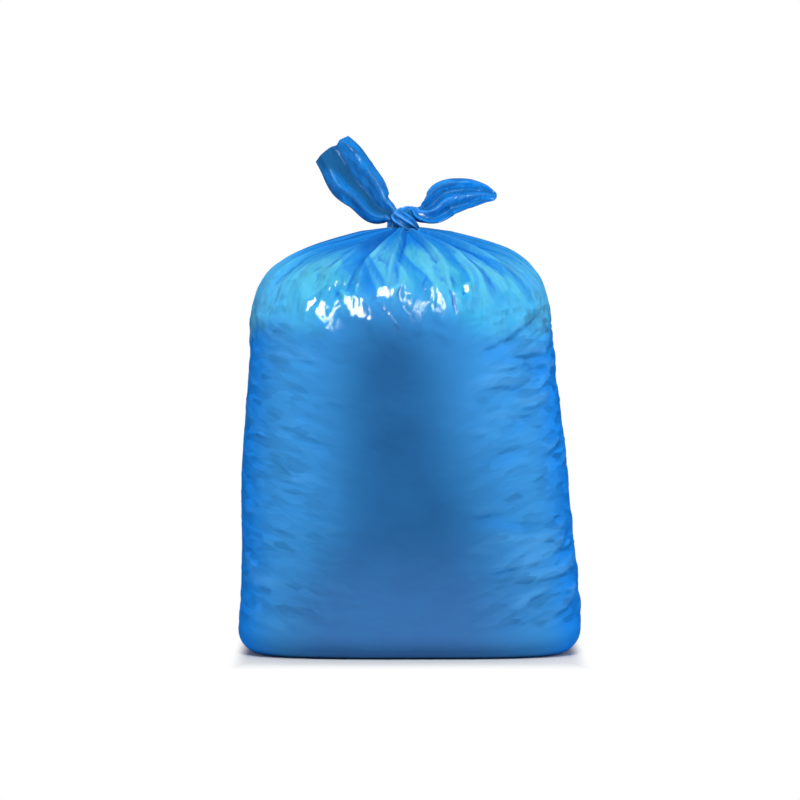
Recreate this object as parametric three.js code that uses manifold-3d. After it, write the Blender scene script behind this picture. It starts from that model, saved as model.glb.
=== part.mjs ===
// A garbage bag of thin blue film, filled, gathered at the neck and tied in a knot that leaves two loose ears.
// Millimetres, +Z up, the front looks towards -Y. The origin is the middle of the base that it stands on.

import * as THREE from "three";
import { mergeVertices } from "three/addons/utils/BufferGeometryUtils.js";
import Module from "manifold-3d";

// Driving dimensions of the filled bag
const BAG_WIDTH = 465;
const BAG_DEPTH = 374;
const BASE_ROUNDING = 32;
const WALL_TOP = 444;
const NECK_HEIGHT = 574;
const NECK_RADIUS = 12;
const KNOT = new THREE.Vector3(-6, 0, 579);

// Section of the body: a rounded oblong at the base that turns into a circle at the neck
const BASE_SQUARENESS = 3.2;
const NECK_SQUARENESS = 2;

// Facets
const AROUND_BODY = 108;
const CORNER_STEPS = 4;
const WALL_STEPS = 10;
const DOME_STEPS = 19;
const AROUND_STRAND = 30;
const STEPS_PER_STATION = 3;
const AROUND_CORE = 16;

// The body's four outlines, as shares of half its width or depth: the wall at WALL_HEIGHTS, then the two
// handles of the curve that rolls over the shoulder at DOME_HEIGHTS and runs on to the neck.
const WALL_HEIGHTS = [BASE_ROUNDING, 130, 285, WALL_TOP];
const DOME_HEIGHTS = [545, 541];
const OUTLINES = {
  left: { half: BAG_WIDTH / 2, wall: [1, 0.97, 0.97, 0.925], dome: [0.9, 0.65], off: -KNOT.x },
  right: { half: BAG_WIDTH / 2, wall: [1, 0.97, 0.9, 0.83], dome: [0.82, 0.63], off: KNOT.x },
  front: { half: BAG_DEPTH / 2, wall: [1, 1, 0.975, 0.915], dome: [0.89, 0.58], off: -KNOT.y },
  back: { half: BAG_DEPTH / 2, wall: [1, 0.995, 0.965, 0.895], dome: [0.86, 0.56], off: KNOT.y },
};

// Gathers: tucks of slack film that run from the neck out over the dome, steep on one flank. The film between
// them is drawn in.
const GATHER_COUNT = 18;
const GATHER_HEIGHT = 13;
const GATHER_SINK = 4.5;
const GATHER_HALF_WIDTH = 4.5;
const GATHER_FLARE = 0.09;
const GATHER_LEAN = 0.4;
const GATHER_FULL_RADIUS = 60;
const SHORTEST_GATHER = 0.6;
const LONGEST_GATHER = 1.15;
const GOLDEN_STEP = 0.618034;

// Flat facets of the crumpled shoulder: how many go round, their height and depth, and the band that they fade
// in and out over, measured up the front from the top of the wall
const FACETS_ROUND = 22;
const FACET_HEIGHT = 40;
const FACET_DEPTH = 6;
const FACET_BAND = [-70, 20, 80, 150];

// Swells of the slack wall, where the film follows what is inside: waves round the body that turn with height
const SWELL_HEIGHT = 2.5;
const SWELL_FADE = 60;
const SWELLS = [
  { waves: 2, start: 0, pitch: 90 },
  { waves: 3, start: 1.7, pitch: -55 },
];

// The two strands that the mouth is parted into. Each station is measured from the knot's centre:
// place, face (the way the flat of the strand looks), then half width, half thickness and depth of its folds.
const RIGHT_STRAND = {
  folds: 2.3,
  phase: 0.35,
  notch: 0,
  stations: [
    { place: [3, -2, -22], face: [1, -1, 0], section: [9, 7, 0.6] },
    { place: [11, -8, -10], face: [1, -1, 0], section: [10, 8, 0.8] },
    { place: [2, -14, 2], face: [0, -1, 0.1], section: [11, 8, 1] },
    { place: [-8, -8, 10], face: [-0.7, -0.6, 0.6], section: [10, 7.5, 0.8] },
    { place: [-1, 4, 14], face: [-0.2, 0.3, 1], section: [9.5, 7.5, 0.8] },
    { place: [9, 8, 16], face: [0.1, 0.1, 1], section: [11, 8, 1] },
    { place: [23, 4, 15], face: [0.1, -0.7, 0.8], section: [16, 7, 2] },
    { place: [39.5, -1, 21.7], face: [0, -1, 0.3], section: [21.5, 5.5, 3.5] },
    { place: [56, -4, 35], face: [-0.1, -1, 0.3], section: [26.5, 4.5, 4.5] },
    { place: [73, -6, 40], face: [-0.1, -1, 0.3], section: [24.5, 3.6, 4.5] },
    { place: [90, -8, 42], face: [0, -1, 0.4], section: [21.5, 3, 4] },
    { place: [107, -8, 41.5], face: [0.1, -1, 0.5], section: [15.5, 2.4, 3] },
    { place: [121, -8, 38.5], face: [0.2, -1, 0.6], section: [8, 1.5, 1] },
  ],
};
const LEFT_STRAND = {
  folds: 1.6,
  phase: 1.04,
  notch: 3,
  stations: [
    { place: [-3, 2, -22], face: [-1, -1, 0], section: [9, 7, 0.6] },
    { place: [-14, -2, -9], face: [-0.8, -1, 0.2], section: [10, 7.5, 0.8] },
    { place: [-14, 2, 2], face: [-0.5, -1, 0.3], section: [9.5, 7, 0.8] },
    { place: [-17, 3, 10], face: [-0.2, -1, 0.2], section: [10.5, 7, 1.2] },
    { place: [-23, 2, 15], face: [0, -1, 0.2], section: [15, 6.5, 2.5] },
    { place: [-37.5, 2, 23.6], face: [0.1, -1, 0.1], section: [23.5, 5.5, 4.5] },
    { place: [-53.5, 3, 44.7], face: [0.15, -1, 0.1], section: [30.5, 4.5, 7] },
    { place: [-71, 5, 63.4], face: [0.15, -1, 0.1], section: [34.5, 3.5, 8] },
    { place: [-85, 8, 85.5], face: [0.1, -1, 0.1], section: [32.5, 2.8, 7] },
    { place: [-98.5, 11, 102.5], face: [0, -1, 0.1], section: [28.5, 1.8, 4] },
  ],
};
const STRAND_EDGE = 0.12;

// The cut edge of the mouth bows out between its corners, from this share of the strand's length on, and dips
// where a fold meets it
const MOUTH_BULGE = 3.5;
const MOUTH_START = 0.8;
const NOTCH_PLACE = -0.28;
const NOTCH_HALF_WIDTH = 0.16;

// Film packed tight in the middle of the knot: half its width, depth and height
const KNOT_CORE = new THREE.Vector3(15, 12, 20);

const FILM_BLUE = 0x2f86d0;
const { clamp, euclideanModulo, lerp, smoothstep } = THREE.MathUtils;

const wasm = await Module();
wasm.setup();

// Skin over closed rings that turn anticlockwise about the way they run. Each end is closed by strips from one
// side of its ring to the other.
function loft(rings) {
  const around = rings[0].length;
  const points = rings.flat();
  const triangles = [];
  for (let i = 0; i + 1 < rings.length; i++) {
    for (let j = 0; j < around; j++) {
      const next = (j + 1) % around;
      const a = i * around + j;
      const b = i * around + next;
      triangles.push(a, b, b + around, a, b + around, a + around);
    }
  }
  const lastRow = (rings.length - 1) * around;
  for (let j = 0; j < around / 2; j++) {
    const across = [j, j + 1, around - j - 1, (around - j) % around];
    const strip = [...new Set(across)];
    for (let k = 1; k + 1 < strip.length; k++) {
      triangles.push(strip[0], strip[k + 1], strip[k]);
      triangles.push(lastRow + strip[0], lastRow + strip[k], lastRow + strip[k + 1]);
    }
  }
  const geometry = new THREE.BufferGeometry().setFromPoints(points);
  geometry.setIndex(triangles);
  return geometry;
}

function solidOf(geometry) {
  const vertProperties = geometry.attributes.position.array;
  const triVerts = new Uint32Array(geometry.index.array);
  return new wasm.Manifold(new wasm.Mesh({ numProp: 3, vertProperties, triVerts }));
}

function geometryOf(solid) {
  const made = solid.getMesh();
  const geometry = new THREE.BufferGeometry();
  geometry.setAttribute("position", new THREE.BufferAttribute(made.vertProperties, made.numProp));
  geometry.setIndex(new THREE.BufferAttribute(made.triVerts, 1));
  geometry.computeVertexNormals();
  return geometry;
}

// One outline of the body as points of (reach, height), from the edge of the flat base up to the neck
function meridian({ half, wall, dome, off }) {
  const corner = new THREE.EllipseCurve(
    half - BASE_ROUNDING, BASE_ROUNDING, BASE_ROUNDING, BASE_ROUNDING, -Math.PI / 2, 0,
  );
  const side = new THREE.SplineCurve(wall.map((share, i) => new THREE.Vector2(share * half, WALL_HEIGHTS[i])));
  const roof = new THREE.CubicBezierCurve(
    new THREE.Vector2(wall.at(-1) * half, WALL_TOP),
    new THREE.Vector2(dome[0] * half, DOME_HEIGHTS[0]),
    new THREE.Vector2(dome[1] * half, DOME_HEIGHTS[1]),
    new THREE.Vector2(NECK_RADIUS + off, NECK_HEIGHT),
  );
  return [
    ...corner.getPoints(CORNER_STEPS),
    ...side.getPoints(WALL_STEPS).slice(1),
    ...roof.getPoints(DOME_STEPS).slice(1),
  ];
}

// A scattered value from 0 to 1 for each index, with no two neighbours alike
function scatter(index, start) {
  return (start + index * GOLDEN_STEP) % 1;
}

const GATHERS = Array.from({ length: GATHER_COUNT }, (_, i) => ({
  angle: ((i + 0.7 * scatter(i, 0.2)) / GATHER_COUNT) * 2 * Math.PI,
  reach: lerp(SHORTEST_GATHER, LONGEST_GATHER, scatter(i, 0.55)),
  height: GATHER_HEIGHT * lerp(0.45, 1, scatter(i, 0.85)),
  lean: scatter(i, 0.1) < 0.5 ? -GATHER_LEAN : GATHER_LEAN,
}));

// How far the gathers lift the film at an angle about the axis, along the dome (0 at the neck, 1 at the wall)
function gatherLift(angle, along, radius) {
  const halfWidth = GATHER_HALF_WIDTH + GATHER_FLARE * radius;
  let lift = -GATHER_SINK * smoothstep(1 - along, 0, 0.5);
  for (const gather of GATHERS) {
    const turn = euclideanModulo(angle - gather.angle + Math.PI, 2 * Math.PI) - Math.PI;
    const flank = halfWidth * (1 + gather.lean * Math.sign(turn));
    const away = Math.min(1, (Math.abs(turn) * radius) / flank);
    const run = Math.min(1, along / gather.reach);
    lift += gather.height * (1 - away) ** 1.3 * (1 - run * run) ** 1.5;
  }
  return lift * Math.min(1, radius / GATHER_FULL_RADIUS);
}

// A scattered value from -1 to 1 for each corner of a grid
function cornerValue(column, row) {
  const wave = Math.sin(column * 12.9898 + row * 78.233) * 43758.5453;
  return 2 * (wave - Math.floor(wave)) - 1;
}

// How far the crumpled film stands out, as two flat triangles to each cell of an uneven grid
function facetLift(angle, run) {
  const turn = (angle / (2 * Math.PI)) * FACETS_ROUND + 0.3 * Math.sin(run / FACET_HEIGHT + 3 * angle);
  const rise = run / FACET_HEIGHT + 0.3 * Math.sin(4 * angle);
  const column = Math.floor(turn);
  const row = Math.floor(rise);
  const s = turn - column;
  const t = rise - row;
  const corner = (i, j) => cornerValue(euclideanModulo(column + i, FACETS_ROUND), row + j);
  const lower = corner(0, 0) * (1 - s - t) + corner(1, 0) * s + corner(0, 1) * t;
  const upper = corner(1, 1) * (s + t - 1) + corner(0, 1) * (1 - s) + corner(1, 0) * (1 - t);
  const [start, full, last, end] = FACET_BAND;
  const band = smoothstep(run, start, full) * (1 - smoothstep(run, last, end));
  const face = 0.35 + 0.65 * Math.sin(angle) ** 2;
  return FACET_DEPTH * (s + t < 1 ? lower : upper) * band * face;
}

// How far the slack wall stands out, fading to nothing at the base and along the dome
function swellLift(angle, along, height) {
  const waves = SWELLS.map(({ waves, start, pitch }) => Math.sin(waves * angle + start + height / pitch));
  const sum = waves.reduce((total, wave) => total + wave, 0);
  return (SWELL_HEIGHT / SWELLS.length) * sum * smoothstep(height, 0, SWELL_FADE) * clamp(along, 0, 1);
}

function makeBody() {
  const left = meridian(OUTLINES.left);
  const right = meridian(OUTLINES.right);
  const front = meridian(OUTLINES.front);
  const back = meridian(OUTLINES.back);
  const topRing = CORNER_STEPS + WALL_STEPS + DOME_STEPS;
  const runs = [0];
  for (let i = 1; i <= topRing; i++) {
    runs.push(runs[i - 1] + front[i].distanceTo(front[i - 1]));
  }

  const ringAt = (i) => {
    const middle = new THREE.Vector2((right[i].x - left[i].x) / 2, (back[i].x - front[i].x) / 2);
    const halfWidth = (right[i].x + left[i].x) / 2;
    const halfDepth = (back[i].x + front[i].x) / 2;
    const power = lerp(BASE_SQUARENESS, NECK_SQUARENESS, (i / topRing) ** 2);
    const along = (topRing - i) / DOME_STEPS;
    const run = runs[i] - runs[CORNER_STEPS + WALL_STEPS];
    const before = right[Math.max(i - 1, 0)];
    const after = right[Math.min(i + 1, topRing)];
    const slope = new THREE.Vector2(after.y - before.y, before.x - after.x).normalize();

    return Array.from({ length: AROUND_BODY }, (_, j) => {
      const angle = (j / AROUND_BODY) * 2 * Math.PI;
      const cos = Math.cos(angle);
      const sin = Math.sin(angle);
      const reach = (Math.abs(cos / halfWidth) ** power + Math.abs(sin / halfDepth) ** power) ** (-1 / power);
      const sideHeight = cos > 0 ? right[i].y : left[i].y;
      const faceHeight = sin > 0 ? back[i].y : front[i].y;
      const height = sideHeight * cos * cos + faceHeight * sin * sin;
      const lift = gatherLift(angle, along, reach) + facetLift(angle, run) + swellLift(angle, along, height);
      const radius = reach + lift * slope.x;
      return new THREE.Vector3(middle.x + radius * cos, middle.y + radius * sin, height + lift * slope.y);
    });
  };
  return loft(Array.from({ length: topRing + 1 }, (_, i) => ringAt(i)));
}

// One strand from inside the neck, through the knot and out to the end of its ear
function makeStrand({ stations, folds, phase, notch }) {
  const curveOf = (key) => new THREE.CatmullRomCurve3(stations.map((s) => new THREE.Vector3(...s[key])));
  const spine = curveOf("place");
  const faces = curveOf("face");
  const sections = curveOf("section");
  const steps = (stations.length - 1) * STEPS_PER_STATION;
  const perSide = AROUND_STRAND / 2;

  const ringAt = (i) => {
    const t = i / steps;
    const centre = spine.getPoint(t).add(KNOT);
    const run = spine.getTangent(t);
    const across = faces.getPoint(t).cross(run).normalize();
    const out = new THREE.Vector3().crossVectors(run, across);
    const { x: halfWidth, y: halfThickness, z: foldDepth } = sections.getPoint(t);
    return Array.from({ length: AROUND_STRAND }, (_, j) => {
      const onFace = j < perSide;
      const share = 1 - (2 * (onFace ? j : AROUND_STRAND - j)) / perSide;
      const fullness = lerp(STRAND_EDGE, 1, Math.sqrt(1 - share * share));
      const side = j % perSide === 0 ? 0 : onFace ? 1 : -1;
      const lift = side * halfThickness * fullness + foldDepth * Math.cos(Math.PI * (share * folds + phase));
      const dip = notch * Math.exp(-(((share - NOTCH_PLACE) / NOTCH_HALF_WIDTH) ** 2));
      const mouth = (MOUTH_BULGE * (1 - share * share) - dip) * smoothstep(t, MOUTH_START, 1);
      const point = centre.clone().addScaledVector(across, share * halfWidth);
      return point.addScaledVector(out, lift).addScaledVector(run, mouth);
    });
  };
  return loft(Array.from({ length: steps + 1 }, (_, i) => ringAt(i)));
}

function makeKnotCore() {
  const ball = new THREE.SphereGeometry(1, AROUND_CORE, AROUND_CORE / 2);
  ball.deleteAttribute("normal");
  ball.deleteAttribute("uv");
  ball.scale(...KNOT_CORE);
  ball.translate(...KNOT);
  return mergeVertices(ball);
}

function makeBag() {
  const pieces = [makeBody(), makeStrand(RIGHT_STRAND), makeStrand(LEFT_STRAND), makeKnotCore()];
  const joined = pieces.map(solidOf).reduce((whole, piece) => whole.add(piece));
  const film = new THREE.MeshStandardMaterial({ color: FILM_BLUE, roughness: 0.35, metalness: 0 });
  const bag = new THREE.Mesh(geometryOf(joined), film);
  bag.name = "garbage_bag";

  // The origin is the middle of the whole bag's box, on the floor
  bag.geometry.computeBoundingBox();
  const middle = bag.geometry.boundingBox.getCenter(new THREE.Vector3());
  bag.position.set(-middle.x, -middle.y, 0);
  return bag;
}

const root = new THREE.Group();
root.add(makeBag());

export default root;
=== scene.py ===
"""Looks of a filled garbage bag of blue film, tied in a knot that leaves two loose ears.

The film is laid over the same outlines as the solid, with slack where the real film is gathered
or slumped, and is then settled: it keeps its own lengths, so the slack buckles into folds.
Lengths are in millimetres until the mesh is made. Two limits are where something starts and where
it is full, and four are its start, where it is full, where that ends, and its end.
"""

import math

import bpy
import numpy as np
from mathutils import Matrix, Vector


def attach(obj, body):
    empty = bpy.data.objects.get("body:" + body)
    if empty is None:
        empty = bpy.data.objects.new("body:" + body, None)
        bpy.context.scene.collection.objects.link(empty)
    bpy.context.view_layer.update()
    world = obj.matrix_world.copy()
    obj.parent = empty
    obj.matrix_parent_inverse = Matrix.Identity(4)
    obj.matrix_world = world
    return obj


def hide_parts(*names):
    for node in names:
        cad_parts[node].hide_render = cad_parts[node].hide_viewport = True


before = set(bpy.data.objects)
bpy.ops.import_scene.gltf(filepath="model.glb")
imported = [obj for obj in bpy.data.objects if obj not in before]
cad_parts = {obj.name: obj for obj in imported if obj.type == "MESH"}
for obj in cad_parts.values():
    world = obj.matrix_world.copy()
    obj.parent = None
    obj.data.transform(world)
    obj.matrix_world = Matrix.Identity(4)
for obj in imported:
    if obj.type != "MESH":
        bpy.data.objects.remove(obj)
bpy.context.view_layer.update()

MM = 0.001

# Driving dimensions of the filled bag, as in the solid
BAG_WIDTH = 465
BAG_DEPTH = 374
BASE_ROUNDING = 32
WALL_TOP = 444
NECK_HEIGHT = 574
NECK_RADIUS = 12
KNOT = np.array([-6.0, 0.0, 579.0])
BASE_SQUARENESS = 3.2
NECK_SQUARENESS = 2
WALL_HEIGHTS = [BASE_ROUNDING, 130, 285, WALL_TOP]
DOME_HEIGHTS = [545, 541]
OUTLINES = {
    "left": (BAG_WIDTH / 2, [1, 0.97, 0.97, 0.925], [0.9, 0.65], -KNOT[0]),
    "right": (BAG_WIDTH / 2, [1, 0.97, 0.9, 0.83], [0.82, 0.63], KNOT[0]),
    "front": (BAG_DEPTH / 2, [1, 1, 0.975, 0.915], [0.89, 0.58], -KNOT[1]),
    "back": (BAG_DEPTH / 2, [1, 0.995, 0.965, 0.895], [0.86, 0.56], KNOT[1]),
}
SOLID_CORNER_STEPS = 4
SOLID_WALL_STEPS = 10
SOLID_DOME_STEPS = 19

# The shift that puts the middle of the solid's box on the origin
CENTRING = np.array([-0.49, 0.57, 0.0])

# Mesh of the body: the wall has half as many columns as the dome
AROUND_BODY = 512
CORNER_ROWS = 8
WALL_ROWS = 160
DOME_ROWS = 72

# Gathers, as in the solid, and the flap of film laid over on the steep side of each
GATHER_COUNT = 18
GATHER_HEIGHT = 13
GATHER_SINK = 4.5
GATHER_HALF_WIDTH = 4.5
GATHER_FLARE = 0.09
GATHER_LEAN = 0.4
GATHER_FULL_RADIUS = 60
GATHER_UNEVENNESS = 0.7
LOWEST_GATHER = 0.45
SHORTEST_GATHER = 0.6
LONGEST_GATHER = 1.15
GOLDEN_STEP = 0.618034
GATHER_FLAP = (-0.05, 0.05, 0.4, 0.9)
FAINTEST_FLAP = 0.3

# Fine pleats between the gathers, tallest in the fan on the left, with a flap and a bare crest to each
PLEAT_COUNT = 52
PLEAT_HEIGHT = 5
PLEAT_HALF_WIDTH = 0.6
PLEAT_UNEVENNESS = 0.6
SHORTEST_PLEAT = 0.4
LOWEST_PLEAT = 0.4
FAINTEST_PLEAT = 0.6
PLEAT_FAN = math.radians(200)
PLEAT_FAN_WIDTH = math.radians(50)
HEIGHT_OUTSIDE_FAN = 0.2
SHOWN_OUTSIDE_FAN = 0.3
PLEAT_FLAP = (-0.05, 0.08, 0.1, 0.6)
PLEAT_CREST = (-0.4, -0.1, -0.05, 0.05)

# Swells of the slack wall, as in the solid: waves round the body, start and the height that turns them
SWELL_HEIGHT = 2.5
SWELL_FADE = 60
SWELLS = [(2, 0, 90), (3, 1.7, -55)]

# Flat facets of the crumpled shoulder, as in the solid, and finer ones: count round, height and depth
FACETS = [(22, 40, 6), (46, 22, 1.8), (84, 12, 0.8)]
FACET_BAND = (-70, 20, 80, 150)
SIDE_CRUMPLING = 0.35

# Flat pieces of the crumpled shoulder, drawn tight between creases: turn in degrees, run up from the
# wall's top, half width, half height, how far its ends rise to the right, how far its sides lean to
# the right, and how tight it is
FLAT_PIECES = [
    (231.5, 29, 6, 6, 0.5, 0.3, 0.6),
    (236.5, 27, 2.5, 9, -0.2, -0.4, 1),
    (240.5, 25, 2.2, 13, 0.2, 0.2, 1),
    (249.6, 27, 15, 14, -0.35, -0.3, 0.35),
    (262.3, 46, 13, 8, 0.1, 0.35, 0.9),
    (270, 56, 2, 6, 0.2, 0.2, 1),
    (268.4, -4, 6, 5, 0.6, -0.3, 0.8),
    (265, 14, 2, 16, 0, -0.9, 1),
    (285.2, 43, 2, 9, 0.3, 0.3, 0.8),
    (288.5, 35, 2, 9, -0.2, -0.3, 0.8),
    (292.5, 44, 2, 24, 0, -0.12, 1),
    (298.8, 49, 5, 8, 0, 0.15, 0.9),
]
FLAT_FACE = np.array([-0.14, -0.96, 0.24])
FLAT_LIMIT = 4
FLAT_EDGE = (1.25, 0.9)
LEAST_FACING = 0.3

# Wrinkles of the slumped wall, which sag from the sides towards the middle of the front and back:
# how many, and the limits of their half length, half width and height
WRINKLES = [(320, (25, 60), (9, 16), (0.8, 2.6)), (700, (8, 28), (3, 6), (0.4, 1.5))]
WRINKLE_TOP = 1.05 * WALL_TOP
WRINKLE_SAG = (-0.15, 0.6)
WRINKLE_CURVE = 0.2
WRINKLE_SUNK = 0.4
WRINKLE_LIMIT = 2.2
WRINKLE_RADIUS = 205

# Panels of the dome where the film lies in more layers (minus) or in one (plus): turn at the neck
# and at the shoulder, half width at both, in degrees, start and end along the dome, and share
DOME_PANELS = [
    (214, 265, 13, 1, 0.0, 0.9, -1),
    (222, 273, 2.5, 1.6, 0.2, 0.8, -1),
    (243, 271, 7, 11, 0.35, 0.82, 0.8),
    (248, 290, 7, 4, 0.0, 0.85, -0.8),
    (287, 287, 7, 9, 0.25, 0.85, 0.5),
    (299, 299, 3.5, 1.5, 0.3, 0.85, -0.8),
    (309, 309, 6, 8, 0.35, 0.88, 0.8),
    (305, 329, 5, 2, 0.25, 0.95, -0.9),
    (311, 334, 0.8, 0.8, 0.5, 0.9, 1),
    (342, 342, 12, 14, 0.35, 0.95, 0.6),
]
PANEL_EDGE = 0.08
PANEL_END = 0.02
PANEL_SLANT = 0.08
PANEL_FAINT_SIDE = 0.55

# Where the film is bunched most at the neck, over how far a turn, and how far along the dome
BUNCH_TURN = math.radians(238)
BUNCH_WIDTH = math.radians(16)
BUNCH_FADE = (0.6, 0.25)
BUNCH_SEAM = 0.7
SEAM_FADE = (0.8, 0.2)

# Slack of the wall's film, at the front, at the sides and more on the right, and its limits
FRONT_SLACK = 0.15
SIDE_SLACK = 0.65
RIGHT_SLACK = 0.2
SLACK_TURN = (0.3, 0.7)
SLUMP_FOOT = (20, 60)
SLUMP_TOP = (60, 0)

# How the body's film settles, on grids from coarse to fine: stiffness, and extra length round the
# shoulder, round the roof and up the shoulder; then how far its folds may stand out or sink
BODY_LEVELS = [(0.01, 0.005, 0, 0.008), (0.004, 0.012, 0.02, 0.012), (0.001, 0.015, 0.03, 0.015)]
ROOF_START = (0, 120)
SHOULDER_BAND = (-60, 10, 70, 130)
WALL_FOLD = 1.2
DOME_FOLD = 2
SUNK_FOLD = 1.5
NECK_ROOM = 0.15

# Layers of the body's film, on the gathers and round the neck, and single film on the pleats' crests
GATHER_LAYER = 0.6
NECK_LAYER = 0.85
NECK_LAYER_FULL = 0.1
NECK_LAYER_FRONT = 0.45
NECK_LAYER_SIDES = 0.6
PLEAT_SINGLE = 0.7
SINGLE_START = (0.12, 0.4)

# Dark core in the middle of the front, partly the filling seen through the film and partly painted shade:
# each side's edge, how far it moves out below, over which heights, and its blur; then the arch of its top
CORE_EDGES = [(-95, -60, (220, 50), 65), (55, 85, (400, 30), -80)]
CORE_TOP = 455
CORE_ARCH = 18
CORE_MIDDLE = -40
CORE_HALF = 100
CORE_LOWEST_TOP = 350
CORE_BLUR = 60

# Empty film above the filling: where it starts, how much higher over the core, and its blur
EMPTY_START = 430
EMPTY_RISE = 45
EMPTY_BLUR = 70

# Where painted shade goes on the sides and under wrinkles, the reach of folds, and the run of streaks
SIDE_TURN = (0.7, 0.98)
SIDE_TOP = (500, 400)
OVERHANG = (0.05, 0.3)
BODY_FOLD_REACH = 9
BODY_STREAKS = 0.35

# How layers of film dull the gloss
LAYER_EDGE = (0.2, 0.8)
LAYER_DULLING = 0.9

# The two strands of the mouth, as in the solid: place from the knot's centre, face, then half width,
# half thickness and depth of folds
RIGHT_STRAND = {
    "folds": 2.3, "phase": 0.35, "layers": 0, "valley": 2, "notch": 0,
    "stations": [
        ([3, -2, -22], [1, -1, 0], [9, 7, 0.6]),
        ([11, -8, -10], [1, -1, 0], [10, 8, 0.8]),
        ([2, -14, 2], [0, -1, 0.1], [11, 8, 1]),
        ([-8, -8, 10], [-0.7, -0.6, 0.6], [10, 7.5, 0.8]),
        ([-1, 4, 14], [-0.2, 0.3, 1], [9.5, 7.5, 0.8]),
        ([9, 8, 16], [0.1, 0.1, 1], [11, 8, 1]),
        ([23, 4, 15], [0.1, -0.7, 0.8], [16, 7, 2]),
        ([39.5, -1, 21.7], [0, -1, 0.3], [21.5, 5.5, 3.5]),
        ([56, -4, 35], [-0.1, -1, 0.3], [26.5, 4.5, 4.5]),
        ([73, -6, 40], [-0.1, -1, 0.3], [24.5, 3.6, 4.5]),
        ([90, -8, 42], [0, -1, 0.4], [21.5, 3, 4]),
        ([107, -8, 41.5], [0.1, -1, 0.5], [15.5, 2.4, 3]),
        ([121, -8, 38.5], [0.2, -1, 0.6], [8, 1.5, 1]),
    ],
}
LEFT_STRAND = {
    "folds": 1.6, "phase": 1.04, "layers": 0.38, "valley": -0.06, "notch": 3,
    "stations": [
        ([-3, 2, -22], [-1, -1, 0], [9, 7, 0.6]),
        ([-14, -2, -9], [-0.8, -1, 0.2], [10, 7.5, 0.8]),
        ([-14, 2, 2], [-0.5, -1, 0.3], [9.5, 7, 0.8]),
        ([-17, 3, 10], [-0.2, -1, 0.2], [10.5, 7, 1.2]),
        ([-23, 2, 15], [0, -1, 0.2], [15, 6.5, 2.5]),
        ([-37.5, 2, 23.6], [0.1, -1, 0.1], [23.5, 5.5, 4.5]),
        ([-53.5, 3, 44.7], [0.15, -1, 0.1], [30.5, 4.5, 7]),
        ([-71, 5, 63.4], [0.15, -1, 0.1], [34.5, 3.5, 8]),
        ([-85, 8, 85.5], [0.1, -1, 0.1], [32.5, 2.8, 7]),
        ([-98.5, 11, 102.5], [0, -1, 0.1], [28.5, 1.8, 4]),
    ],
}
STRAND_EDGE = 0.12
MOUTH_BULGE = 3.5
MOUTH_START = 0.8
NOTCH_PLACE = -0.28
NOTCH_HALF = 0.16
KNOT_CORE = np.array([15, 12, 20])
AROUND_STRAND = 96
ROWS_PER_STATION = 8
STRAND_PLEATS = [(3.1, 0.35, 0.4), (5.3, 0.3, -0.6)]
STRAND_PLEAT_SHIFT = 0.4

# How a strand opens from the knot into an ear, and what that does to its section and slack
EAR_START = (0.42, 0.75)
EAR_SQUARENESS = 6
EAR_THINNING = 0.6
EAR_SMOOTHING = 0.25
EAR_FREEDOM = 0.8

# Creases of the ears over a length: how many facets, height and depth
EAR_LENGTH = 260
EAR_CREASES = [(6, 40, 1.6), (14, 16, 0.6)]

# Folds of the film packed in the knot: height, count across, drift and wobble along; and its small
# creases: height, count along and drift across
KNOT_END = (0.6, 0.4)
KNOT_FOLD = (1.2, 2.3, 8, 16)
KNOT_CREASE = (0.5, 34, 3)

# How a strand's film settles, on grids from coarse to fine: stiffness, extra length round and along,
# and share of its pleats; then how far its folds may go
STRAND_LEVELS = [(0.01, 0.02, 0.003, 0), (0.004, 0.05, 0.006, 0), (0.002, 0.09, 0.01, 1)]
STRAND_ROOM = 0.4
STRAND_PUFF = 0.5
STRAND_NOISE = 0.1

# Layers of a strand's film, at its edges and in the valley of its ear
EDGE_WIDTH = 0.05
EDGE_LAYER = 0.6
VALLEY_EDGE = (-0.03, 0.03)
VALLEY_FADE = (1, 0.4)
VALLEY_START = (0.25, 0.5)
VALLEY_WIDTH = 0.5
VALLEY_FLARE = 0.8
VALLEY_MOUTH = (0.78, 0.95)

# The reach of a strand's folds, the run of its streaks, and its gloss
STRAND_FOLD_REACH = 5
STRAND_STREAKS = (1.1, 0.5, 0.8)
EAR_GLOSS = 0.45
KNOT_GLOSS = 1.15

# The film in the middle of the knot
KNOT_ROWS = 16
KNOT_CAP = 0.98
KNOT_SUNK = -3

# The open mouth at the end of each ear: its film's share of the ear's thickness, and its depth in rows
MOUTH_FILM = 0.6
MOUTH_ROWS = 5

# What the film's material is told at each point
MARKS = ["fold", "layer", "single", "seam", "empty", "core", "slack", "wrinkle", "shade", "crumpled",
         "side", "flat", "tight", "ear", "packed", "gloss"]

# Colours of the film: the filled wall and its core, the empty dome, then the ears and the knot
WALL_BLUE = (0.037, 0.24, 0.58, 1)
# The core is partly the filling seen through the film, partly painted shade
CORE_SHADE_BLUE = (0.014, 0.088, 0.24, 1)
LOW_BLUE = (0.039, 0.145, 0.37, 1)
# Painted highlight on the wall's wrinkle crests
CREST_HIGHLIGHT_BLUE = (0.085, 0.34, 0.72, 1)
# Painted deeper shade on the sides, where the film is seen edge-on, and in the wall's wrinkle hollows
SIDE_SHADE_BLUE = (0.006, 0.225, 0.82, 1)
SHADE_BLUE = (0.01, 0.13, 0.4, 1)
DOME_BLUE = (0.025, 0.3, 0.5, 1)
# The shoulder's blue, also painted light on the dimly lit sides near the shoulder
SHOULDER_AND_SIDE_LIGHT_BLUE = (0.035, 0.35, 0.64, 1)
# Lighter film, in single layers and random streaks, and a painted highlight on the crests of folds
RIDGE_AND_HIGHLIGHT_BLUE = (0.085, 0.42, 0.6, 1)
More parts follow.
